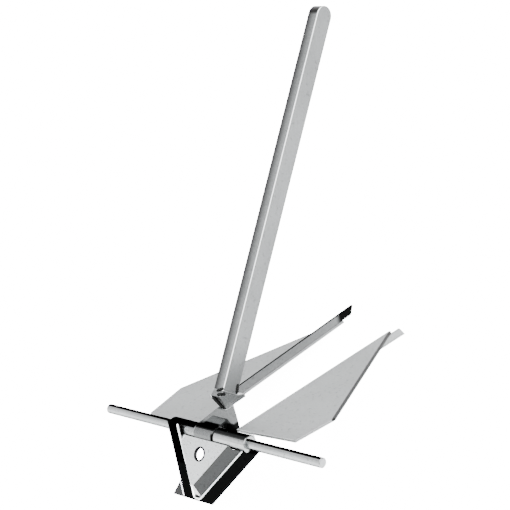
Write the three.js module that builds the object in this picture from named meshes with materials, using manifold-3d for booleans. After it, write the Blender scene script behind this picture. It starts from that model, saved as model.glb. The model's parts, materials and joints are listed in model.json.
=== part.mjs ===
// Stainless fluke anchor: two pointed flukes on a crown hub, a round stock through
// the hub, a pressed tripping palm under it, and a shank that swings about the stock.
//
// Two frames are used. The crown frame has X along the stock, Y towards the fluke
// tips and Z square to the crown's middle plane, with its origin on the stock's axis.
// The whole anchor is then tipped until the palm's toe, one fluke and the other
// fluke's rib stand on one level surface, which is Z = 0 of the finished part.
import * as THREE from 'three';
import { ConvexGeometry } from 'three/addons/geometries/ConvexGeometry.js';
import { mergeVertices } from 'three/addons/utils/BufferGeometryUtils.js';
import Module from 'manifold-3d';

const wasm = await Module();
wasm.setup();

// ---- driving dimensions, mm and degrees ----
const GAP = 0.3;                 // clearance left between welded neighbours
const CUT_MARGIN = 0.01;         // how far a cutting solid runs past the face it opens

const STOCK_LENGTH = 400;
const STOCK_DIA = 12.6;
const STOCK_CHAMFER = 1.2;

const HUB_OUTER_DIA = 22;
const HUB_INNER_X = 17.6;        // inner end of each hub tube
const HUB_OUTER_X = { left: 68, right: 74.5 };
const HUB_CHAMFER = 1;

const SHEET = 4;                 // thickness of every pressed or cut plate
const EDGE = 0.5;                // broken edge on plates

const FLUKE_INNER_X = 41.7;
const FLUKE_REAR_X = 138;
const FLUKE_REAR_Y = 18;         // at the outer corner; the inner corner meets the hub
const FLUKE_WIDE_X = 146;
const FLUKE_WIDE_Y = 81;
const FLUKE_TIP_Y = 300;
const FLUKE_TIP_WIDTH = 3;
const FLUKE_OFFSET_Z = 7;        // the left fluke starts this far below the axis, the right one above
const FLUKE_TWIST = 1.7;         // degrees by which each fluke leans back across the middle plane

const RIB_HEIGHT = 11;
const RIB_REAR_Y = 70;
const RIB_OVERHANG = 24;         // how far a rib runs past its fluke's point
const RIB_NOSE = 7;              // length of the slanted nose
const RIB_UNDERSIDE = -SHEET / 2 - GAP - RIB_HEIGHT;

const PALM_SLOPE = 51.7;         // degrees from the fluke plane
const PALM_FOOT_Y = -44.2;
const PALM_FOOT_Z = -72.2;
const PALM_HEIGHT = 80;
const PALM_FOOT_HALF = 24.6;
const PALM_TOP_HALF = 85.4;
const RIM_WIDTH_X = 20.3;        // width of each sloping rim, measured along X
const PAN_RISE = 19.2;           // how far the centre panel stands off the rim
const PAN_INSET = 16;            // how much narrower the panel is than its base, on each side
const PAN_LOW = 2.6;             // height up the palm at which the pan's bottom wall starts
const PAN_TOP = 76;              // height up the palm at which the centre panel ends
const APEX_HALF = 2;             // half-width of the panel's lower point
const STRAP_LOW = 40;            // height up the palm at which the left rim's strap leaves the rim
const STRAP_LEAN = 28;           // degrees by which the strap leans out, so that it passes over the hub tube
const STRAP_LENGTH = 54.1;
const STRAP_TOP_INNER_X = 42.2;
const STRAP_TOP_OUTER_X = 62.2;
const TRIP_HOLE_DIA = 17;
const TRIP_HOLE_V = 57;
const TOE_WIDTH = 22;
const TOE_HEIGHT = 19;

const SHANK_ANGLE = 50.8;        // degrees above the fluke plane
const SHANK_LENGTH = 564;        // pivot to the round end
const SHANK_DEPTH = 26;
const SHANK_WIDTH = 17.4;
const SHANK_REAR = 4;            // rear face's distance from the line through the pivot
const SHANK_START = 56;          // where the bar meets its foot
const SHANK_EDGE = 0.8;

const FOOT_BASE_Z = 20.3;        // underside of the shank's foot over the middle plane
const FOOT_HEEL_Y = 29;
const FOOT_TOE_Y = 64.5;
const FOOT_TOE_HEIGHT = 4;
const FOOT_NECK_Y = 24.5;
const FOOT_NECK_Z = 41;
const FOOT_UNDERCUT_X = 0.5;       // the foot's left side slopes in to here at its underside

const EYE_OUTER_DIA = 23.6;
const EYE_HALF_X = 17;
const HEAD_HALF_X = 37;
const HEAD_REAR_Y = 16;
const HEAD_FRONT_Y = 42;
const HEAD_BASE_Z = 1;
const HEAD_RIDGE_Y = 28;         // rear end of the head's flat top
const HEAD_HEEL = 4;             // straight depth of the head's ends before the hips start
const NECK_HALF_X = 14;          // half-width of the neck between the head and its eye
const NECK_CORNERS = [[2, 10], [8, -8], [28, 1], [25, 12]];      // Y and Z of each

const ROUND_STEPS = 48;
const WELD_TOLERANCE = 1e-4;     // vertices closer than this are one

// ---- small helpers ----
const radians = THREE.MathUtils.degToRad;

function steel(color, roughness) {
  return new THREE.MeshStandardMaterial({ color, roughness, metalness: 1 });
}

function weldVertices(geometry) {
  const bare = geometry.clone();
  bare.deleteAttribute('normal');
  bare.deleteAttribute('uv');
  return mergeVertices(bare.index ? bare.toNonIndexed() : bare, WELD_TOLERANCE);
}

function toSolid(geometry, matrix) {
  const merged = weldVertices(geometry);
  if (matrix) {
    merged.applyMatrix4(matrix);
  }
  return new wasm.Manifold(new wasm.Mesh({
    numProp: 3,
    vertProperties: new Float32Array(merged.attributes.position.array),
    triVerts: new Uint32Array(merged.index.array),
  }));
}

function toGeometry(solid) {
  const mesh = solid.getMesh();
  const geometry = new THREE.BufferGeometry();
  geometry.setAttribute('position', new THREE.BufferAttribute(new Float32Array(mesh.vertProperties), 3));
  geometry.setIndex(new THREE.BufferAttribute(new Uint32Array(mesh.triVerts), 1));
  geometry.computeVertexNormals();
  return geometry;
}

function outline(points) {
  const shape = new THREE.Shape();
  points.forEach(([x, y], i) => (i ? shape.lineTo(x, y) : shape.moveTo(x, y)));
  shape.closePath();
  return shape;
}

// A flat plate: its outline lies in XY and its thickness rises from z = 0.
function plate(shape, thickness, edge = EDGE) {
  const geometry = new THREE.ExtrudeGeometry(shape, {
    depth: thickness - 2 * edge,
    bevelEnabled: edge > 0,
    bevelThickness: edge,
    bevelSize: edge,
    bevelOffset: -edge,
    bevelSegments: 1,
    curveSegments: ROUND_STEPS / 4,
  });
  return geometry.translate(0, 0, edge);
}

// A solid of revolution about X, from [x, radius] pairs that close on themselves.
function turned(profile) {
  const points = profile.map(([x, r]) => new THREE.Vector2(r, x));
  const geometry = new THREE.LatheGeometry(points, ROUND_STEPS);
  return geometry.rotateZ(-Math.PI / 2);
}

function tube(x0, x1, innerRadius, outerRadius, chamfer) {
  return turned([
    [x0, innerRadius],
    [x0, outerRadius - chamfer],
    [x0 + chamfer, outerRadius],
    [x1 - chamfer, outerRadius],
    [x1, outerRadius - chamfer],
    [x1, innerRadius],
    [x0, innerRadius],
  ]);
}

function rod(radius, length) {
  return new THREE.CylinderGeometry(radius, radius, length, ROUND_STEPS);
}

// A convex solid through the given corners.
function block(corners) {
  return toSolid(new ConvexGeometry(corners.map((corner) => new THREE.Vector3(...corner))));
}

// Turns XY outlines so that they stand in the YZ plane with their thickness along X.
const STANDING = new THREE.Matrix4().makeBasis(
  new THREE.Vector3(0, 1, 0),
  new THREE.Vector3(0, 0, 1),
  new THREE.Vector3(1, 0, 0),
);

function standing(points, width, edge = EDGE) {
  return plate(outline(points), width, edge).applyMatrix4(STANDING).translate(-width / 2, 0, 0);
}

function named(name, geometry, material) {
  const mesh = new THREE.Mesh(geometry, material);
  mesh.name = name;
  return mesh;
}

// ---- stock and hub ----
function stockRod() {
  const half = STOCK_LENGTH / 2;
  const r = STOCK_DIA / 2;
  return turned([
    [-half, 0],
    [-half, r - STOCK_CHAMFER],
    [-half + STOCK_CHAMFER, r],
    [half - STOCK_CHAMFER, r],
    [half, r - STOCK_CHAMFER],
    [half, 0],
  ]);
}

function hubTube(side, word) {
  const ends = [side * HUB_INNER_X, side * HUB_OUTER_X[word]].sort((a, b) => a - b);
  return tube(ends[0], ends[1], STOCK_DIA / 2 + GAP, HUB_OUTER_DIA / 2, HUB_CHAMFER);
}

// ---- flukes ----
const FLUKE_ROOT_Y = HUB_OUTER_DIA / 2 + GAP;

function flukePlate(side) {
  const corners = [
    [FLUKE_INNER_X, FLUKE_ROOT_Y],
    [FLUKE_REAR_X, FLUKE_REAR_Y],
    [FLUKE_WIDE_X, FLUKE_WIDE_Y],
    [FLUKE_INNER_X + FLUKE_TIP_WIDTH, FLUKE_TIP_Y],
    [FLUKE_INNER_X, FLUKE_TIP_Y],
  ].map(([x, y]) => [side * x, y]);
  return plate(outline(side > 0 ? corners : corners.reverse()), SHEET).translate(0, 0, -SHEET / 2);
}

// The left fluke's rib stands up from its inner edge and the right one's hangs down:
// each fluke is the other one turned half round about Y.
function flukeRib(side) {
  const noseY = FLUKE_TIP_Y + RIB_OVERHANG;
  const points = [
    [RIB_REAR_Y, 0],
    [noseY - RIB_NOSE, 0],
    [noseY, RIB_HEIGHT],
    [RIB_REAR_Y + RIB_HEIGHT, RIB_HEIGHT],
  ];
  const geometry = standing(points, SHEET).translate(-FLUKE_INNER_X - SHEET / 2, 0, SHEET / 2 + GAP);
  return side < 0 ? geometry : geometry.rotateY(Math.PI);
}

// ---- palm ----
// Palm frame: X along the stock, Y up the slope from the foot, Z square to the palm
// and towards the rear.
function palmHalf(v) {
  return PALM_FOOT_HALF + (PALM_TOP_HALF - PALM_FOOT_HALF) * (v / PALM_HEIGHT);
}

// A triangular pan: wide at w = 0 and narrower at w = rise, pointing down the slope.
function pan(shrink, rise) {
  const baseHalf = (v) => palmHalf(v) - RIM_WIDTH_X - shrink;
  const slope = palmHalf(1) - palmHalf(0);
  const low = PAN_LOW + shrink;
  const apex = low + (PAN_INSET + APEX_HALF - baseHalf(low)) / slope;
  const far = PALM_HEIGHT;
  return block([-1, 1].flatMap((side) => [
    [side * baseHalf(low), low, 0],
    [side * baseHalf(far), far, 0],
    [side * APEX_HALF, apex, rise],
    [side * (baseHalf(far) - PAN_INSET), far, rise],
  ]));
}

// The left rim's strap, which runs up over the end of the hub tube.
function rimStrap() {
  const flat = plate(outline([
    [RIM_WIDTH_X - palmHalf(STRAP_LOW), 0],
    [-STRAP_TOP_INNER_X, STRAP_LENGTH],
    [-STRAP_TOP_OUTER_X, STRAP_LENGTH],
    [-palmHalf(STRAP_LOW), 0],
  ]), SHEET);
  return toSolid(flat.translate(0, 0, -SHEET).rotateX(radians(STRAP_LEAN)).translate(0, STRAP_LOW, SHEET));
}

function palmPressing(stockInPalm) {
  const rim = toSolid(plate(outline([
    [-PALM_FOOT_HALF, 0],
    [PALM_FOOT_HALF, 0],
    [PALM_TOP_HALF, PALM_HEIGHT],
    [-PALM_TOP_HALF, PALM_HEIGHT],
  ]), SHEET));
  const outer = pan(0, PAN_RISE);
  const inner = pan(SHEET, PAN_RISE - SHEET).translate([0, 0, -CUT_MARGIN]);
  const panWidth = 2 * (palmHalf(PAN_TOP) - RIM_WIDTH_X);
  const through = 4 * PAN_RISE;
  const panEnd = toSolid(new THREE.BoxGeometry(panWidth, PALM_HEIGHT, through)
    .translate(0, PAN_TOP + PALM_HEIGHT / 2, 0));
  const hole = toSolid(rod(TRIP_HOLE_DIA / 2, through).rotateX(Math.PI / 2).translate(0, TRIP_HOLE_V, 0));
  const hubSeat = toSolid(rod(HUB_OUTER_DIA / 2 + GAP, 4 * PALM_TOP_HALF)
    .rotateZ(Math.PI / 2).translate(0, stockInPalm.y, stockInPalm.z));
  const eyeSeat = toSolid(rod(EYE_OUTER_DIA / 2 + GAP, 2 * (EYE_HALF_X + GAP))
    .rotateZ(Math.PI / 2).translate(0, stockInPalm.y, stockInPalm.z));
  const pressing = rim.add(outer).subtract(inner).subtract(panEnd).subtract(hole);
  return pressing.add(rimStrap()).subtract(hubSeat).subtract(eyeSeat);
}

// A triangular toe plate on the left of the palm's foot.
function palmToe() {
  return plate(outline([
    [-PALM_FOOT_HALF - 2 * GAP, 0],
    [-palmHalf(TOE_HEIGHT) - 2 * GAP, TOE_HEIGHT],
    [-PALM_FOOT_HALF - TOE_WIDTH, 0],
  ]), SHEET);
}

// ---- shank ----
const SHANK_DIR = [Math.cos(radians(SHANK_ANGLE)), Math.sin(radians(SHANK_ANGLE))];
const SHANK_BACK = [-SHANK_DIR[1], SHANK_DIR[0]];

// A point in YZ at a distance along the shank and a distance behind its pivot line.
function onShank(along, behind) {
  return [
    SHANK_DIR[0] * along + SHANK_BACK[0] * behind,
    SHANK_DIR[1] * along + SHANK_BACK[1] * behind,
  ];
}

function shankBar() {
  const r = SHANK_DEPTH / 2;
  const centre = SHANK_REAR - r;
  const shape = new THREE.Shape();
  shape.moveTo(...onShank(SHANK_START, SHANK_REAR - SHANK_DEPTH));
  shape.lineTo(...onShank(SHANK_LENGTH - r, SHANK_REAR - SHANK_DEPTH));
  const [cy, cz] = onShank(SHANK_LENGTH - r, centre);
  const start = radians(SHANK_ANGLE - 90);
  shape.absarc(cy, cz, r, start, start + Math.PI, false);
  shape.lineTo(...onShank(SHANK_START, SHANK_REAR));
  shape.closePath();
  return plate(shape, SHANK_WIDTH, SHANK_EDGE).applyMatrix4(STANDING).translate(-SHANK_WIDTH / 2, 0, 0);
}

function shankFoot() {
  const rearTop = onShank(SHANK_START - GAP, SHANK_REAR);
  const frontTop = onShank(SHANK_START - GAP, SHANK_REAR - SHANK_DEPTH);
  const full = toSolid(standing([
    [FOOT_HEEL_Y, FOOT_BASE_Z],
    [FOOT_TOE_Y, FOOT_BASE_Z],
    [FOOT_TOE_Y, FOOT_BASE_Z + FOOT_TOE_HEIGHT],
    frontTop,
    rearTop,
    [FOOT_NECK_Y, FOOT_NECK_Z],
  ], SHANK_WIDTH, SHANK_EDGE));
  const undercut = block([0, 2 * FOOT_TOE_Y].flatMap((y) => [
    [-SHANK_WIDTH, y, FOOT_BASE_Z - FOOT_TOE_HEIGHT],
    [FOOT_UNDERCUT_X, y, FOOT_BASE_Z - FOOT_TOE_HEIGHT],
    [FOOT_UNDERCUT_X, y, FOOT_BASE_Z],
    [-SHANK_WIDTH / 2, y, FOOT_NECK_Z],
    [-SHANK_WIDTH, y, FOOT_NECK_Z],
  ]));
  return full.subtract(undercut);
}

// The head: a hipped block under the foot, joined to the eye that turns on the stock.
function shankHead() {
  const top = FOOT_BASE_Z - GAP;
  const ridge = SHANK_WIDTH / 2;
  const body = block([
    [-HEAD_HALF_X, HEAD_REAR_Y, HEAD_BASE_Z],
    [HEAD_HALF_X, HEAD_REAR_Y, HEAD_BASE_Z],
    [-HEAD_HALF_X, HEAD_REAR_Y + HEAD_HEEL, HEAD_BASE_Z],
    [HEAD_HALF_X, HEAD_REAR_Y + HEAD_HEEL, HEAD_BASE_Z],
    [-ridge, HEAD_FRONT_Y, HEAD_BASE_Z],
    [ridge, HEAD_FRONT_Y, HEAD_BASE_Z],
    [-ridge, HEAD_RIDGE_Y, top],
    [ridge, HEAD_RIDGE_Y, top],
    [-ridge, HEAD_FRONT_Y, top],
    [ridge, HEAD_FRONT_Y, top],
  ]);
  const eye = toSolid(turned([
    [-EYE_HALF_X, 0],
    [-EYE_HALF_X, EYE_OUTER_DIA / 2],
    [EYE_HALF_X, EYE_OUTER_DIA / 2],
    [EYE_HALF_X, 0],
  ]));
  const neck = block([-NECK_HALF_X, NECK_HALF_X].flatMap((x) => NECK_CORNERS.map(([y, z]) => [x, y, z])));
  const bore = toSolid(rod(STOCK_DIA / 2 + GAP, 4 * EYE_HALF_X).rotateZ(Math.PI / 2));
  return body.add(eye).add(neck).subtract(bore);
}

// ---- assembly ----
const PLATE_STEEL = steel(0xb9bcbe, 0.28);
const BRIGHT_STEEL = steel(0xd2d4d6, 0.16);
const CAST_STEEL = steel(0x9ea1a3, 0.3);

const crown = new THREE.Group();
crown.add(named('stock_rod', stockRod(), BRIGHT_STEEL));
const flukes = [['left', -1], ['right', 1]].map(([word, side]) => {
  crown.add(named(`${word}_hub_tube`, hubTube(side, word), BRIGHT_STEEL));
  const fluke = new THREE.Group();
  fluke.position.z = side * FLUKE_OFFSET_Z;
  fluke.rotation.x = -side * radians(FLUKE_TWIST);
  fluke.add(named(`${word}_fluke`, flukePlate(side), PLATE_STEEL));
  fluke.add(named(`${word}_fluke_rib`, flukeRib(side), PLATE_STEEL));
  crown.add(fluke);
  return fluke;
});

const palm = new THREE.Group();
palm.position.set(0, PALM_FOOT_Y, PALM_FOOT_Z);
palm.rotation.x = radians(PALM_SLOPE);
crown.add(palm);
crown.updateMatrixWorld(true);
const stockInPalm = palm.worldToLocal(new THREE.Vector3());
palm.add(named('palm', toGeometry(palmPressing(stockInPalm)), BRIGHT_STEEL));
palm.add(named('palm_toe', palmToe(), PLATE_STEEL));

crown.add(named('shank_bar', shankBar(), PLATE_STEEL));
crown.add(named('shank_foot', toGeometry(shankFoot()), CAST_STEEL));
crown.add(named('shank_head', toGeometry(shankHead()), CAST_STEEL));

// Tip the crown until its three contact points lie level.
const contacts = [
  palm.localToWorld(new THREE.Vector3(-PALM_FOOT_HALF - TOE_WIDTH, 0, 0)),
  flukes[1].localToWorld(new THREE.Vector3(FLUKE_INNER_X, FLUKE_TIP_Y + RIB_OVERHANG, RIB_UNDERSIDE)),
  flukes[0].localToWorld(new THREE.Vector3(-FLUKE_INNER_X, FLUKE_TIP_Y, -SHEET / 2)),
];
const level = new THREE.Plane().setFromCoplanarPoints(...contacts).normal;
crown.quaternion.setFromUnitVectors(level, new THREE.Vector3(0, 0, 1));
crown.updateMatrixWorld(true);
const bounds = new THREE.Box3().setFromObject(crown, true);
const centre = bounds.getCenter(new THREE.Vector3());
crown.position.set(-centre.x, -centre.y, -bounds.min.z);

const anchor = new THREE.Group();
anchor.add(crown);
export default anchor;
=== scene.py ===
"""Look of a polished stainless fluke anchor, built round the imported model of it."""

import json
import math

import bmesh
import bpy
from mathutils import Matrix, Vector


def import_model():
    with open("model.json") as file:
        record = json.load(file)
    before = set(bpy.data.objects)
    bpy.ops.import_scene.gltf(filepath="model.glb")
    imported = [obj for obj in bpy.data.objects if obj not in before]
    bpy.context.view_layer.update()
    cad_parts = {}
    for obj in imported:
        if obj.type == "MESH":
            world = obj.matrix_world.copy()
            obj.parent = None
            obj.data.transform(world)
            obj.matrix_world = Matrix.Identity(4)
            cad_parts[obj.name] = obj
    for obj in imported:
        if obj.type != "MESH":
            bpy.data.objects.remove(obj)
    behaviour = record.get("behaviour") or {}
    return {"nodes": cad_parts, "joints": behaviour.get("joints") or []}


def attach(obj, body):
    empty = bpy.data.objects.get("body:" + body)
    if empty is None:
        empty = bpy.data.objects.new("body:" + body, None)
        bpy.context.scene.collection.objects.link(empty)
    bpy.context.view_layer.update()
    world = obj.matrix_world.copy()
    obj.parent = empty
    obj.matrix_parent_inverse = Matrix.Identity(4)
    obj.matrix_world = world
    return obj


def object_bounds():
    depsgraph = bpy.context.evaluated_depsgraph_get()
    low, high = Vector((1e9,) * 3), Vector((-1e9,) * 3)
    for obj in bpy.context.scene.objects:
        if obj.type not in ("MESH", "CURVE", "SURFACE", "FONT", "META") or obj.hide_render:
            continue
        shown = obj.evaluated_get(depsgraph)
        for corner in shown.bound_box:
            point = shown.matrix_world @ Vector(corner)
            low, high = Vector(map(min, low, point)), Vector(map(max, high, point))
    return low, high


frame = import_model()
nodes = frame["nodes"]
cad_low, cad_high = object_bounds()

X_AXIS = Vector((1, 0, 0))
Y_AXIS = Vector((0, 1, 0))
Z_AXIS = Vector((0, 0, 1))
SIDES = (("left", -1), ("right", 1))

# ---- sizes, metres, the same as the model's ----
MM = 0.001
SHEET = 4 * MM
GAP = 0.3 * MM

HUB_RADIUS = 11 * MM
HUB_OUTER_X = {"left": 68 * MM, "right": 74.5 * MM}

FLUKE_INNER_X = 41.7 * MM
FLUKE_TIP_Y = 300 * MM
FLUKE_OFFSET_Z = 7 * MM
FLUKE_TWIST = math.radians(1.7)
FLUKE_EDGE_SQUARE = Vector((0.907, 0.42, 0))      # square out to the right fluke's front edge
FLUKE_EDGE_OUT = 166.4 * MM                       # and that far from the hinge
RIB_HEIGHT = 11 * MM
RIB_REAR_Y = 70 * MM
RIB_OVERHANG = 24 * MM

PALM_SLOPE = math.radians(51.7)
PALM_FOOT = Vector((0, -44.2, -72.2)) * MM
PALM_HEIGHT = 80 * MM
PALM_FOOT_HALF = 24.6 * MM
PALM_TOP_HALF = 85.4 * MM
RIM_WIDTH_X = 20.3 * MM
PAN_RISE = 19.2 * MM
PAN_LOW = 2.6 * MM
PAN_TOP = 76 * MM
STRAP_LOW = 40 * MM
STRAP_LEAN = math.radians(28)
STRAP_LENGTH = 54.1 * MM
STRAP_TOP_INNER_X = 42.2 * MM
TRIP_HOLE_V = 57 * MM
TRIP_HOLE_RADIUS = 8.5 * MM
TOE_WIDTH = 22 * MM
TOE_HEIGHT = 19 * MM

SHANK_ANGLE = math.radians(50.8)
SHANK_WIDTH = 17.4 * MM
SHANK_HALF = SHANK_WIDTH / 2
SHANK_START = 56 * MM
SHANK_REAR = 4 * MM
SHANK_DEPTH = 26 * MM
SHANK_LENGTH = 564 * MM
FOOT_BASE_Z = 20.3 * MM
FOOT_HEEL_Y = 29 * MM
FOOT_NECK_Y = 24.5 * MM
FOOT_NECK_Z = 41 * MM
FOOT_UNDERCUT_X = 0.5 * MM
HEAD_FRONT_Y = 42 * MM


# ---- frames of the crown and the palm ----
def palm_half(v):
    """Half the palm's width at a distance up its slope."""
    return PALM_FOOT_HALF + (PALM_TOP_HALF - PALM_FOOT_HALF) * v / PALM_HEIGHT


def fluke_local(side):
    """A fluke's place in the crown's frame."""
    return Matrix.Translation((0, 0, side * FLUKE_OFFSET_Z)) @ Matrix.Rotation(-side * FLUKE_TWIST, 4, "X")


def crown_matrix():
    """The crown's frame: X along the stock, Y to the fluke tips, levelled on its three contact points."""
    toe = PALM_LOCAL @ Vector((-PALM_FOOT_HALF - TOE_WIDTH, 0, 0))
    nose = fluke_local(1) @ Vector((
        FLUKE_INNER_X, FLUKE_TIP_Y + RIB_OVERHANG, -SHEET / 2 - GAP - RIB_HEIGHT))
    tip = fluke_local(-1) @ Vector((-FLUKE_INNER_X, FLUKE_TIP_Y, -SHEET / 2))
    level = (tip - nose).cross(toe - nose).normalized()
    turn = level.rotation_difference(Z_AXIS).to_matrix().to_4x4()
    return Matrix.Translation(Vector(frame["joints"][0]["pos_m"])) @ turn


def on_shank(x, length, behind):
    """A point in the crown's frame, a length up the shank and behind the line through its hinge."""
    forward, up = math.cos(SHANK_ANGLE), math.sin(SHANK_ANGLE)
    return Vector((x, length * forward - behind * up, length * up + behind * forward))


# The palm's frame has Y up its slope and Z out of its face.
PALM_LOCAL = Matrix.Translation(PALM_FOOT) @ Matrix.Rotation(PALM_SLOPE, 4, "X")
CROWN = crown_matrix()
PALM = CROWN @ PALM_LOCAL
STRAP = PALM @ Matrix.Translation((0, STRAP_LOW, SHEET)) @ Matrix.Rotation(STRAP_LEAN, 4, "X")
STRAP_LOW_INNER_X = palm_half(STRAP_LOW) - RIM_WIDTH_X
STRAP_SPREAD = (STRAP_TOP_INNER_X - STRAP_LOW_INNER_X) / (STRAP_LENGTH * math.cos(STRAP_LEAN))
SHANK_ALONG = on_shank(0, 1, 0)
SHANK_BEHIND = on_shank(0, 0, 1)


# ---- shader nodes ----
def link(tree, source, target):
    tree.links.new(source, target)


def feed(tree, socket, value):
    """Links an output to a socket, or sets the socket to a plain value."""
    if isinstance(value, bpy.types.NodeSocket):
        link(tree, value, socket)
    else:
        socket.default_value = value


def math_node(tree, operation, *values):
    node = tree.nodes.new("ShaderNodeMath")
    node.operation = operation
    for socket, value in zip(node.inputs, values):
        feed(tree, socket, value)
    return node.outputs[0]


def mix_colour(tree, factor, *colours):
    """The first colour where factor is 0, and the second where it is 1."""
    node = tree.nodes.new("ShaderNodeMix")
    node.data_type = "RGBA"
    sockets = [socket for socket in node.inputs if socket.type == "RGBA"]
    link(tree, factor, node.inputs[0])
    for socket, colour in zip(sockets, colours):
        feed(tree, socket, colour)
    return next(socket for socket in node.outputs if socket.type == "RGBA")


def step(tree, value, start, full):
    """0 below start, 1 above full and smooth between."""
    node = tree.nodes.new("ShaderNodeMapRange")
    node.interpolation_type = "SMOOTHSTEP"
    link(tree, value, node.inputs[0])
    node.inputs[1].default_value = start
    node.inputs[2].default_value = full
    return node.outputs[0]


def along(tree, source, direction, origin=Vector((0, 0, 0))):
    """How far a coordinate lies from origin along a direction."""
    node = tree.nodes.new("ShaderNodeVectorMath")
    node.operation = "DOT_PRODUCT"
    link(tree, source, node.inputs[0])
    node.inputs[1].default_value = direction
    return math_node(tree, "SUBTRACT", node.outputs["Value"], direction.dot(origin))


def noise(tree, coordinate, scale, detail, stretch=None):
    """Cloudy noise from 0 to 1. A stretch above 1 along an axis packs it closer there."""
    if stretch is not None:
        mapping = tree.nodes.new("ShaderNodeMapping")
        mapping.inputs["Scale"].default_value = stretch
        link(tree, coordinate, mapping.inputs["Vector"])
        coordinate = mapping.outputs["Vector"]
    node = tree.nodes.new("ShaderNodeTexNoise")
    node.inputs["Scale"].default_value = scale
    node.inputs["Detail"].default_value = detail
    link(tree, coordinate, node.inputs["Vector"])
    return node.outputs[0]


# ---- masks: each gives 0 to 1 over a surface, for a patch of a steel ----
def both(*masks):
    """Where every mask is set."""
    def mask(tree, place):
        amount = masks[0](tree, place)
        for other in masks[1:]:
            amount = math_node(tree, "MULTIPLY", amount, other(tree, place))
        return amount
    return mask


def outside(inner):
    """Where a mask isn't set."""
    def mask(tree, place):
        return math_node(tree, "SUBTRACT", 1, inner(tree, place))
    return mask


def facing(matrix, direction, start, full):
    """Faces that look along a direction of a frame, fading in between two cosines."""
    axis = (matrix.to_3x3() @ direction).normalized()

    def mask(tree, place):
        return step(tree, along(tree, place.outputs["Normal"], axis), start, full)
    return mask


def beyond(matrix, direction, start, full):
    """What lies along a direction of a frame, fading in between two distances from its origin."""
    axis = (matrix.to_3x3() @ direction).normalized()

    def mask(tree, place):
        return step(tree, along(tree, place.outputs["Object"], axis, matrix.translation), start, full)
    return mask


# ---- steel ----
STEEL_TINT = (1, 1.035, 1.045)
CLOUD_SCALE = 14
LINE_SCALE = 60
LINE_STRETCH = (1, 14, 14)        # the polish lines run along X
SCUFF_SCALE = 240
SCUFF_START = 0.55                # of the noise, where a scuff begins
SCUFF_FULL = 0.72
SCUFF_SHADE = 0.28                # how much a scuff darkens the tone
SCUFF_ROUGHNESS = 0.06
LINE_ROUGHNESS = 0.1
LINE_DEPTH = 0.1 * MM
LINE_STRENGTH = 0.05
SHEEN_LOW = 0.89                  # the clouds and lines vary the tone from here
SHEEN_RANGE = 0.24                # up by this much


def steel(name, tone, roughness, metallic=1, patches=()):
    """Polished stainless with fine polish lines, a cloudy sheen and faint scuffs.

    A patch is a mask and the tone there, and a later patch covers an earlier one.
    """
    material = bpy.data.materials.new(name)
    material.use_nodes = True
    tree = material.node_tree
    shader = tree.nodes["Principled BSDF"]
    shader.inputs["Metallic"].default_value = metallic
    place = tree.nodes.new("ShaderNodeTexCoord")
    cloud = noise(tree, place.outputs["Object"], CLOUD_SCALE, detail=4)
    lines = noise(tree, place.outputs["Object"], LINE_SCALE, detail=2, stretch=LINE_STRETCH)
    scuffs = noise(tree, place.outputs["Object"], SCUFF_SCALE, detail=6)
    worn = step(tree, scuffs, SCUFF_START, SCUFF_FULL)

    halves = [math_node(tree, "MULTIPLY", texture, 0.5) for texture in (cloud, lines)]
    sheen = step(tree, math_node(tree, "ADD", *halves), 0.3, 0.7)
    shade = math_node(tree, "MULTIPLY_ADD", sheen, SHEEN_RANGE, SHEEN_LOW)
    shade = math_node(tree, "SUBTRACT", shade, math_node(tree, "MULTIPLY", worn, SCUFF_SHADE))
    level = tone
    for mask, patch_tone in patches:
        amount = mask(tree, place)
        change = math_node(tree, "SUBTRACT", patch_tone, level)
        level = math_node(tree, "ADD", level, math_node(tree, "MULTIPLY", change, amount))
    shaded = math_node(tree, "MULTIPLY", level, shade)
    colour = tree.nodes.new("ShaderNodeCombineColor")
    for socket, tint in zip(colour.inputs, STEEL_TINT):
        link(tree, math_node(tree, "MULTIPLY", shaded, tint), socket)
    link(tree, colour.outputs[0], shader.inputs["Base Color"])

    spread = math_node(tree, "MULTIPLY", lines, LINE_ROUGHNESS)
    rough = math_node(tree, "ADD", roughness - LINE_ROUGHNESS / 2, spread)
    rough = math_node(tree, "ADD", rough, math_node(tree, "MULTIPLY", worn, SCUFF_ROUGHNESS))
    link(tree, rough, shader.inputs["Roughness"])

    bump = tree.nodes.new("ShaderNodeBump")
    bump.inputs["Strength"].default_value = LINE_STRENGTH
    bump.inputs["Distance"].default_value = LINE_DEPTH
    link(tree, lines, bump.inputs["Height"])
    link(tree, bump.outputs["Normal"], shader.inputs["Normal"])
    return material


# ---- finishes: patches of painted light, black and dark ones for painted reflections and painted shade, white ones for painted highlights ----
# The tone of the painted dark reflections and painted shadows.
BLACK = 0.005
SOFT = 0.5 * MM                   # how far a crisp patch takes to fade in

# A black band along each fluke's front edge: a painted dark reflection.
EDGE_BAND = 2.8 * MM              # width of the black band along a fluke's front edge
FRONT_EDGE_REFLECTIONS = [
    (beyond(CROWN, Vector((side * FLUKE_EDGE_SQUARE.x, FLUKE_EDGE_SQUARE.y, 0)),
            FLUKE_EDGE_OUT - EDGE_BAND, FLUKE_EDGE_OUT - EDGE_BAND + SOFT), BLACK)
    for _, side in SIDES
]
FLUKE = steel("fluke_steel", tone=0.21, roughness=0.45, metallic=0.75, patches=FRONT_EDGE_REFLECTIONS)

# The left rib's top face and nose are painted black: painted dark reflections.
RIB_TOP = facing(CROWN, Z_AXIS, 0.7, 0.9)
RIB_NOSE = beyond(CROWN, Y_AXIS, FLUKE_TIP_Y - 14 * MM, FLUKE_TIP_Y - 4 * MM)
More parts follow.
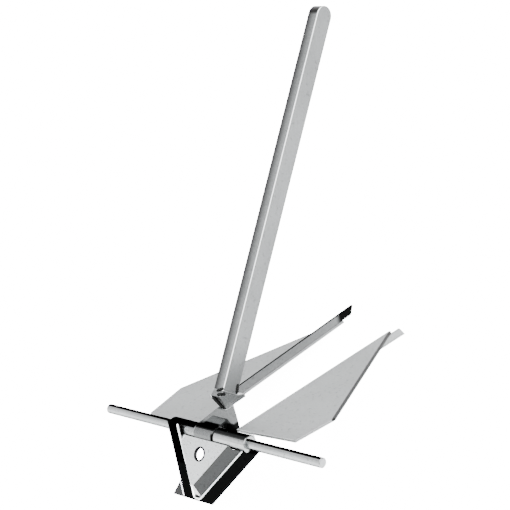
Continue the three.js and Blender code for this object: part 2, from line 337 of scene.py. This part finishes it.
# The two ribs are shaded and lit copies of one steel: the left one painted darker as shade, the right one
# lighter as if lit.
RIB = steel("rib_steel", tone=0.13, roughness=0.35, patches=[(RIB_TOP, BLACK), (RIB_NOSE, BLACK)])
LIT_RIGHT_RIB = steel("right_rib_lit_steel", tone=0.27, roughness=0.35, metallic=0.8)

# The shank's rear face is painted darker towards its left, a painted shade; its arris is painted white, a
# painted highlight; its top end is painted black, a painted dark reflection.
REAR_FACE = facing(CROWN, SHANK_BEHIND, 0.85, 0.95)
DARKER_TO_LEFT = beyond(CROWN, -X_AXIS, -SHANK_HALF, SHANK_HALF)
ARRIS_HIGHLIGHT = both(facing(CROWN, X_AXIS, 0.35, 0.5), facing(CROWN, SHANK_BEHIND, 0.35, 0.5))
SHANK_END = both(beyond(CROWN, SHANK_ALONG, SHANK_LENGTH - 16 * MM, SHANK_LENGTH - 11 * MM),
                 outside(facing(CROWN, X_AXIS, 0.3, 0.6)))
SHANK = steel("shank_steel", tone=0.16, roughness=0.3, metallic=0.9, patches=[
    (both(REAR_FACE, DARKER_TO_LEFT), 0.02),
    (ARRIS_HIGHLIGHT, 1.0),
    (SHANK_END, BLACK),
])

# A stripe on the foot's rear face is painted black: a painted shadow.
STRIPE_SQUARE = Vector((0.914, 0, 0.406))         # square out to the heel stripe's right edge
STRIPE_OUT = 17.2 * MM                            # and that far from the hinge
SHADOW_STRIPE = both(facing(CROWN, -Y_AXIS, 0.9, 0.96),
              outside(beyond(CROWN, STRIPE_SQUARE, STRIPE_OUT, STRIPE_OUT + 0.6 * MM)))
FOOT = steel("foot_steel", tone=0.17, roughness=0.28, patches=[(SHADOW_STRIPE, BLACK)])

# Faces of the bars across the crown that look this way are painted black: painted dark reflections.
BAR_TOP = Vector((0, 0.34, 0.94))                 # where the bars across the crown turn black
# The head's lower right end is painted black as a painted shade, and its top as a painted dark reflection.
HEAD_RIGHT_END_SHADE = both(beyond(CROWN, X_AXIS, 13 * MM, 15 * MM),
                      outside(beyond(CROWN, Z_AXIS, 7 * MM, 9 * MM)))
HEAD_TOP_REFLECTION = both(facing(CROWN, BAR_TOP, 0.6, 0.72), outside(beyond(CROWN, Y_AXIS, 9 * MM, 11 * MM)))
HEAD = steel("head_steel", tone=0.13, roughness=0.25, patches=[(HEAD_RIGHT_END_SHADE, BLACK), (HEAD_TOP_REFLECTION, BLACK)])

# On the palm, the rim and the left strap are painted black as painted dark reflections, the right wall and
# the pan's top end painted dark as painted shade, and the low wall painted near white as a painted
# highlight.
ABOVE_RIM = beyond(PALM, Z_AXIS, SHEET + 0.1 * MM, SHEET + 0.5 * MM)
PALM_RIM_REFLECTION = both(outside(ABOVE_RIM), outside(facing(PALM, -Z_AXIS, 0.1, 0.5)))
PALM_RIGHT_WALL_SHADE = both(ABOVE_RIM, facing(PALM, X_AXIS, 0.25, 0.4))
PALM_LOW_WALL_HIGHLIGHT = facing(PALM, -Y_AXIS, 0.35, 0.5)
PAN_END_SHADE = both(beyond(PALM, Y_AXIS, PAN_TOP - 0.7 * MM, PAN_TOP - 0.4 * MM),
               beyond(PALM, Z_AXIS, SHEET + MM, SHEET + 2 * MM))
STRAP_OUT = 26.5 * MM             # from the middle of the palm's foot, square out to the strap
LEFT_STRAP_REFLECTION = beyond(PALM, Vector((-1, -STRAP_SPREAD, 0)), STRAP_OUT, STRAP_OUT + SOFT)
PRESSED = steel("pressed_steel", tone=0.55, roughness=0.2, patches=[
    (PALM_LOW_WALL_HIGHLIGHT, 0.95),
    (PALM_RIGHT_WALL_SHADE, 0.035),
    (PALM_RIM_REFLECTION, BLACK),
    (PAN_END_SHADE, 0.1),
    (LEFT_STRAP_REFLECTION, BLACK),
])

# The tops of the stock and the hub tubes are painted near black: painted dark reflections.
STOCK = steel("stock_steel", tone=0.36, roughness=0.16, patches=[
    (facing(CROWN, BAR_TOP, 0.68, 0.78), BLACK),
])
HUB = steel("hub_steel", tone=0.34, roughness=0.14, patches=[
    (facing(CROWN, BAR_TOP, 0.5, 0.62), 0.03),
])
# The left hub tube is a shaded copy of the right one's steel, painted darker as shade.
SHADED_LEFT_HUB = steel("left_hub_shaded_steel", tone=0.26, roughness=0.2, patches=[
    (facing(CROWN, BAR_TOP, 0.45, 0.58), BLACK),
])
# The toe is painted near black: a painted dark reflection.
TOE = steel("toe_steel", tone=0.03, roughness=0.35, metallic=0.7)
# Painted near white: painted highlights along the welds, folds and edges that use it.
HIGHLIGHT_BEAD = steel("weld_steel", tone=0.95, roughness=0.22, metallic=0.8)
PLAIN_BEAD = steel("plain_weld_steel", tone=0.3, roughness=0.3)
# Painted near black: painted shadows round the shank's foot, and painted dark reflections along the heel
# and in the trip hole's lip.
PAINTED_DARK_BEAD = steel("painted_dark_bead_steel", tone=0.01, roughness=0.3)

# A black specular tint keeps these steels from brightening where a face is seen edge-on.
for dull in (RIB, PRESSED, STOCK, HUB, SHADED_LEFT_HUB, HEAD, TOE, PAINTED_DARK_BEAD):
    dull.node_tree.nodes["Principled BSDF"].inputs["Specular Tint"].default_value = (0, 0, 0, 1)

FINISHES = {
    "stock_rod": STOCK,
    "left_hub_tube": SHADED_LEFT_HUB,
    "right_hub_tube": HUB,
    "left_fluke": FLUKE,
    "right_fluke": FLUKE,
    "left_fluke_rib": RIB,
    "right_fluke_rib": LIT_RIGHT_RIB,
    "palm": PRESSED,
    "palm_toe": TOE,
    "shank_bar": SHANK,
    "shank_foot": FOOT,
    "shank_head": HEAD,
}
EDGE_ROUND = 0.35 * MM
SHARP_ANGLE = math.radians(25)


def dress_node(name, material):
    """Gives a carried-over node its finish and a small round on each sharp edge."""
    node = nodes[name]
    node.data.materials.clear()
    node.data.materials.append(material)
    bevel = node.modifiers.new("edge_round", "BEVEL")
    bevel.width = EDGE_ROUND
    bevel.segments = 2
    bevel.limit_method = "ANGLE"
    bevel.angle_limit = SHARP_ANGLE
    bevel.use_clamp_overlap = True


for node_name, finish in FINISHES.items():
    dress_node(node_name, finish)


# ---- weld beads and folds ----
BEAD_STEP = 0.7 * MM
BEAD_SIDES = 8
TAPER_STEPS = 2.5                 # steps over which a bead swells to its full radius
TIP_STEPS = 0.35                  # steps' worth of that swelling at its very end
RIPPLE = 0.18                     # of the radius
RIPPLE_TURN = 1.6                 # radians to a step
NEARLY_UPRIGHT = 0.9


def add_object(name, data):
    """A new object in the scene, at the origin."""
    added = bpy.data.objects.new(name, data)
    bpy.context.scene.collection.objects.link(added)
    return added


def resample(points, spacing):
    """Points at an even spacing along a polyline, with their directions."""
    samples = []
    for start, end in zip(points, points[1:]):
        count = max(2, round((end - start).length / spacing))
        direction = (end - start).normalized()
        samples += [(start.lerp(end, i / count), direction) for i in range(count)]
    samples.append((points[-1], (points[-1] - points[-2]).normalized()))
    return samples


def square_to(direction):
    """A direction square to a bead's run, and level unless the run is nearly upright."""
    if abs(direction.z) > NEARLY_UPRIGHT:
        return direction.orthogonal().normalized()
    return direction.cross(Z_AXIS).normalized()


def bead_rings(work, samples, radius, ripple):
    """A ring of points round each sample, rippled along the run and tapered at both ends."""
    rings = []
    for i, (centre, direction) in enumerate(samples):
        side = square_to(direction)
        up = side.cross(direction).normalized()
        end = min(i, len(samples) - 1 - i)
        taper = math.sqrt(min(1, (end + TIP_STEPS) / TAPER_STEPS))
        size = radius * taper * (1 + ripple * math.sin(i * RIPPLE_TURN))
        rings.append([
            work.verts.new(centre + size * (math.cos(t) * side + math.sin(t) * up))
            for t in (2 * math.pi * k / BEAD_SIDES for k in range(BEAD_SIDES))
        ])
    return rings


def bead(name, points, radius, matrix, body, material=HIGHLIGHT_BEAD, ripple=RIPPLE):
    """A rippled round bead along a polyline given in its own frame."""
    work = bmesh.new()
    samples = resample([matrix @ point for point in points], BEAD_STEP)
    rings = bead_rings(work, samples, radius, ripple)
    for first, second in zip(rings, rings[1:]):
        for k in range(BEAD_SIDES):
            j = (k + 1) % BEAD_SIDES
            work.faces.new((first[k], first[j], second[j], second[k]))
    work.faces.new(list(reversed(rings[0])))
    work.faces.new(rings[-1])
    bmesh.ops.recalc_face_normals(work, faces=work.faces)
    mesh = bpy.data.meshes.new(name)
    work.to_mesh(mesh)
    work.free()
    for face in mesh.polygons:
        face.use_smooth = True
    mesh.materials.append(material)
    piece = add_object(name, mesh)
    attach(piece, body)


def closed(points):
    """A polyline that comes back to its first point."""
    return points + points[:1]


HUB_WELD_RADIUS = 1.6 * MM
PLATE_WELD_RADIUS = 0.9 * MM
RIB_WELD_LIFT = 0.1 * MM
RIB_WELD_SHORT = 18 * MM          # how far it stops short of the fluke's tip


def fluke_welds():
    """The welds of each fluke to its hub tube and of each rib to its fluke, painted near white as a painted
    highlight.
    """
    hub_seam_y = math.sqrt(HUB_RADIUS ** 2 - (FLUKE_OFFSET_Z - SHEET / 2) ** 2) + HUB_WELD_RADIUS / 2
    rib_x = FLUKE_INNER_X + SHEET
    rib_z = SHEET / 2 + RIB_WELD_LIFT
    for word, side in SIDES:
        fluke = CROWN @ fluke_local(side)
        hub_seam = [
            Vector((side * x, hub_seam_y, -side * SHEET / 2))
            for x in (FLUKE_INNER_X + MM, HUB_OUTER_X[word] - MM)
        ]
        bead(f"{word}_fluke_hub_weld", hub_seam, HUB_WELD_RADIUS, fluke, "crown")
        rib_seam = [
            Vector((side * rib_x, y, -side * rib_z))
            for y in (RIB_REAR_Y, FLUKE_TIP_Y - RIB_WELD_SHORT)
        ]
        bead(f"{word}_rib_weld", rib_seam, PLATE_WELD_RADIUS, fluke, "crown")


FOLD_RADIUS = 1.4 * MM
FOLD_INSET = 0.3 * MM             # how far the strap's fold sits in from its edge and off its back


def palm_folds():
    """The rounds where the palm's panel and strap are pressed out of its rim, and the toe's weld, all
    painted near white as painted highlights.
    """
    for word, side in SIDES:
        fold_top = STRAP_LOW if word == "left" else PAN_TOP
        fold = [
            Vector((side * (palm_half(v) - RIM_WIDTH_X - FOLD_RADIUS), v, SHEET + MM))
            for v in (PAN_LOW, fold_top)
        ]
        bead(f"{word}_palm_fold", fold, FOLD_RADIUS, PALM, "crown", ripple=0)
    strap_edge = [
        Vector((FOLD_INSET - STRAP_LOW_INNER_X, 0, FOLD_INSET)),
        Vector((FOLD_INSET - STRAP_TOP_INNER_X, STRAP_LENGTH - MM, FOLD_INSET)),
    ]
    bead("palm_strap_edge", strap_edge, FOLD_RADIUS, STRAP, "crown", ripple=0)
    half = palm_half(PAN_LOW) - RIM_WIDTH_X - FOLD_RADIUS
    low_fold = [Vector((side * half, PAN_LOW, SHEET)) for _, side in SIDES]
    bead("palm_low_fold", low_fold, FOLD_RADIUS, PALM, "crown", ripple=0)
    toe_seam = [Vector((-palm_half(v) - GAP, v, SHEET)) for v in (MM, TOE_HEIGHT - MM)]
    bead("palm_toe_weld", toe_seam, PLATE_WELD_RADIUS, PALM, "crown")


LIP_RADIUS = 1.1 * MM
LIP_CORNERS = 40


def hole_lip():
    """The rolled lip of the palm's trip hole, painted near black as a painted dark reflection."""
    centre = Vector((0, TRIP_HOLE_V, PAN_RISE))
    ring = closed([
        centre + TRIP_HOLE_RADIUS * Vector((math.cos(t), math.sin(t), 0))
        for t in (2 * math.pi * k / LIP_CORNERS for k in range(LIP_CORNERS))
    ])
    bead("trip_hole_lip", ring, LIP_RADIUS, PALM, "crown", material=PAINTED_DARK_BEAD, ripple=0)


FOOT_WELD_RADIUS = 0.5 * MM
HEAD_WELD_RADIUS = 0.6 * MM
HEEL_EDGE_RADIUS = 0.4 * MM
HEEL_REFLECTION_RADIUS = 2.3 * MM
HEEL_REFLECTION_IN = 3.5 * MM           # from the heel's bright edge
HEEL_REFLECTION_SHORT = 1.5 * MM        # of the heel's two ends
NECK_BEHIND = SHANK_REAR + 2.2 * MM

# Painted shadows, as dark beads in the gaps round the shank's foot: each one's radius, then its points
# across the shank, up from its foot weld, and behind its line.
SHANK_PAINTED_SHADOWS = {
    "shank_toe_painted_shadow": (2.1 * MM, (
        (SHANK_HALF, 13 * MM, -18 * MM),
        (SHANK_HALF, 1 * MM, -20 * MM),
    )),
    "shank_painted_shadow_0": (2 * MM, (
        (-2 * MM, -2 * MM, SHANK_REAR),
        (SHANK_HALF, 3 * MM, SHANK_REAR),
    )),
    "shank_painted_shadow_1": (2 * MM, (
        (3 * MM, -6.5 * MM, NECK_BEHIND),
        (SHANK_HALF, -5 * MM, NECK_BEHIND),
        (SHANK_HALF, -3 * MM, -1 * MM),
    )),
}


def shank_welds():
    """The welds round the shank's foot and head, the heel's edge painted white as a painted highlight, a
    painted dark reflection beside it and painted shadows round the foot.
    """
    left, right = FOOT_UNDERCUT_X, SHANK_HALF
    front = SHANK_REAR - SHANK_DEPTH
    bar_corners = ((-right, SHANK_REAR), (right, SHANK_REAR), (right, front), (-right, front))
    foot_loop = closed([on_shank(x, SHANK_START, behind) for x, behind in bar_corners])
    bead("shank_foot_weld", foot_loop, FOOT_WELD_RADIUS, CROWN, "shank", material=PLAIN_BEAD)
    seat_corners = ((left, FOOT_HEEL_Y), (right, FOOT_HEEL_Y), (right, HEAD_FRONT_Y), (left, HEAD_FRONT_Y))
    head_loop = closed([Vector((x, y, FOOT_BASE_Z)) for x, y in seat_corners])
    bead("shank_head_weld", head_loop, HEAD_WELD_RADIUS, CROWN, "shank", material=PLAIN_BEAD)
    # The heel's edge is a bead painted near white: a painted highlight.
    heel_edge = [Vector((-right, FOOT_NECK_Y, FOOT_NECK_Z)), Vector((left, FOOT_HEEL_Y, FOOT_BASE_Z))]
    bead("foot_heel_edge", heel_edge, HEEL_EDGE_RADIUS, CROWN, "shank", ripple=0)
    # Beside it, a bead painted near black: a painted dark reflection.
    heel_top, heel_low = heel_edge
    heel_reflection = [
        heel_top + Vector((HEEL_REFLECTION_IN, 0, -HEEL_REFLECTION_SHORT)),
        heel_low + Vector((HEEL_REFLECTION_IN, 0, HEEL_REFLECTION_SHORT)),
    ]
    bead("foot_heel_reflection", heel_reflection, HEEL_REFLECTION_RADIUS, CROWN, "shank",
         material=PAINTED_DARK_BEAD, ripple=0)
    for name, (radius, places) in SHANK_PAINTED_SHADOWS.items():
        seam = [on_shank(x, SHANK_START + up, behind) for x, up, behind in places]
        bead(name, seam, radius, CROWN, "shank", material=PAINTED_DARK_BEAD)


fluke_welds()
palm_folds()
hole_lip()
shank_welds()


# ---- studio ----
BACKDROP_WHITE = (1, 1, 1, 1)
FLOOR_SIZE = 14
FLOOR_TONE = (0.93, 0.93, 0.93, 1)
FLOOR_ROUGHNESS = 0.9
FLOOR_GLOW = 14
SKY_STRENGTH = 3.6
SKY_TINT = (1, 1.003, 1.008)
SKY_RANGE = (-0.2, 1.0)           # of the height looked at, from below the horizon to overhead
SKY_BANDS = ((0.0, 0.8), (0.35, 0.85), (0.5, 0.6), (0.62, 0.25), (0.8, 1.0))    # place and tone
LIGHTS = {                        # place, width and watts
    "key": ((-1.2, -1.6, 2.4), 1.6, 190),
    "fill": ((2.2, 0.6, 1.4), 1.8, 110),
}

# The camera's place and angles are in the crown's frame.
CAMERA_PLACE = Vector((1.65, -1.1915, 0.987))
CAMERA_AZIMUTH = math.radians(50.95)
CAMERA_ELEVATION = math.radians(20.82)
CAMERA_ROLL = math.radians(-15.48)
CAMERA_LENS_MM = 127.2
SENSOR_MM = 36


def floor():
    """A plain pale floor. It glows for the camera only: it comes out white and lights nothing."""
    mesh = bpy.data.meshes.new("studio_floor")
    half = FLOOR_SIZE / 2
    corners = [(-half, -half, 0), (half, -half, 0), (half, half, 0), (-half, half, 0)]
    mesh.from_pydata(corners, [], [(0, 1, 2, 3)])
    material = bpy.data.materials.new("studio_floor")
    material.use_nodes = True
    tree = material.node_tree
    shader = tree.nodes["Principled BSDF"]
    shader.inputs["Base Color"].default_value = FLOOR_TONE
    shader.inputs["Roughness"].default_value = FLOOR_ROUGHNESS
    shader.inputs["Emission Color"].default_value = BACKDROP_WHITE
    path = tree.nodes.new("ShaderNodeLightPath")
    glow = math_node(tree, "MULTIPLY", path.outputs["Is Camera Ray"], FLOOR_GLOW)
    link(tree, glow, shader.inputs["Emission Strength"])
    mesh.materials.append(material)
    add_object("studio_floor", mesh)


def sky_colour(tone):
    return tuple(tone * tint for tint in SKY_TINT) + (1,)


def world():
    """Soft grey bands for the steel to mirror, behind a backdrop that is plain white to the camera."""
    sky = bpy.data.worlds.new("studio")
    bpy.context.scene.world = sky
    sky.use_nodes = True
    tree = sky.node_tree
    background = tree.nodes["Background"]
    place = tree.nodes.new("ShaderNodeTexCoord")
    height = along(tree, place.outputs["Generated"], Z_AXIS)
    ramp = tree.nodes.new("ShaderNodeValToRGB")
    link(tree, step(tree, height, *SKY_RANGE), ramp.inputs["Fac"])
    bands = ramp.color_ramp.elements
    bands.remove(bands[1])
    bands[0].color = sky_colour(SKY_BANDS[0][1])
    for position, tone in SKY_BANDS[1:]:
        bands.new(position).color = sky_colour(tone)
    path = tree.nodes.new("ShaderNodeLightPath")
    colour = mix_colour(tree, path.outputs["Is Camera Ray"], ramp.outputs["Color"], BACKDROP_WHITE)
    link(tree, colour, background.inputs["Color"])
    background.inputs["Strength"].default_value = SKY_STRENGTH


def area_light(name, place, size, watts):
    """A square soft light that looks at the middle of the anchor."""
    light = bpy.data.lights.new(name, "AREA")
    light.size = size
    light.energy = watts
    lamp = add_object(name, light)
    lamp.location = place
    lamp.rotation_euler = ((cad_low + cad_high) / 2 - Vector(place)).to_track_quat("-Z", "Y").to_euler()


def camera():
    """A long lens, set by the crown's frame."""
    back = Vector((
        math.sin(CAMERA_AZIMUTH) * math.cos(CAMERA_ELEVATION),
        -math.cos(CAMERA_AZIMUTH) * math.cos(CAMERA_ELEVATION),
        math.sin(CAMERA_ELEVATION),
    ))
    lens = bpy.data.cameras.new("camera")
    lens.lens = CAMERA_LENS_MM
    lens.sensor_width = SENSOR_MM
    lens.clip_start = 0.05
    lens.clip_end = 60
    eye = add_object("camera", lens)
    turn = (-back).to_track_quat("-Z", "Y").to_matrix().to_4x4() @ Matrix.Rotation(CAMERA_ROLL, 4, "Z")
    eye.matrix_world = CROWN @ Matrix.Translation(CAMERA_PLACE) @ turn
    bpy.context.scene.camera = eye


floor()
world()
for light_name, (light_place, light_size, light_watts) in LIGHTS.items():
    area_light(light_name, light_place, light_size, light_watts)
camera()

bpy.context.view_layer.update()
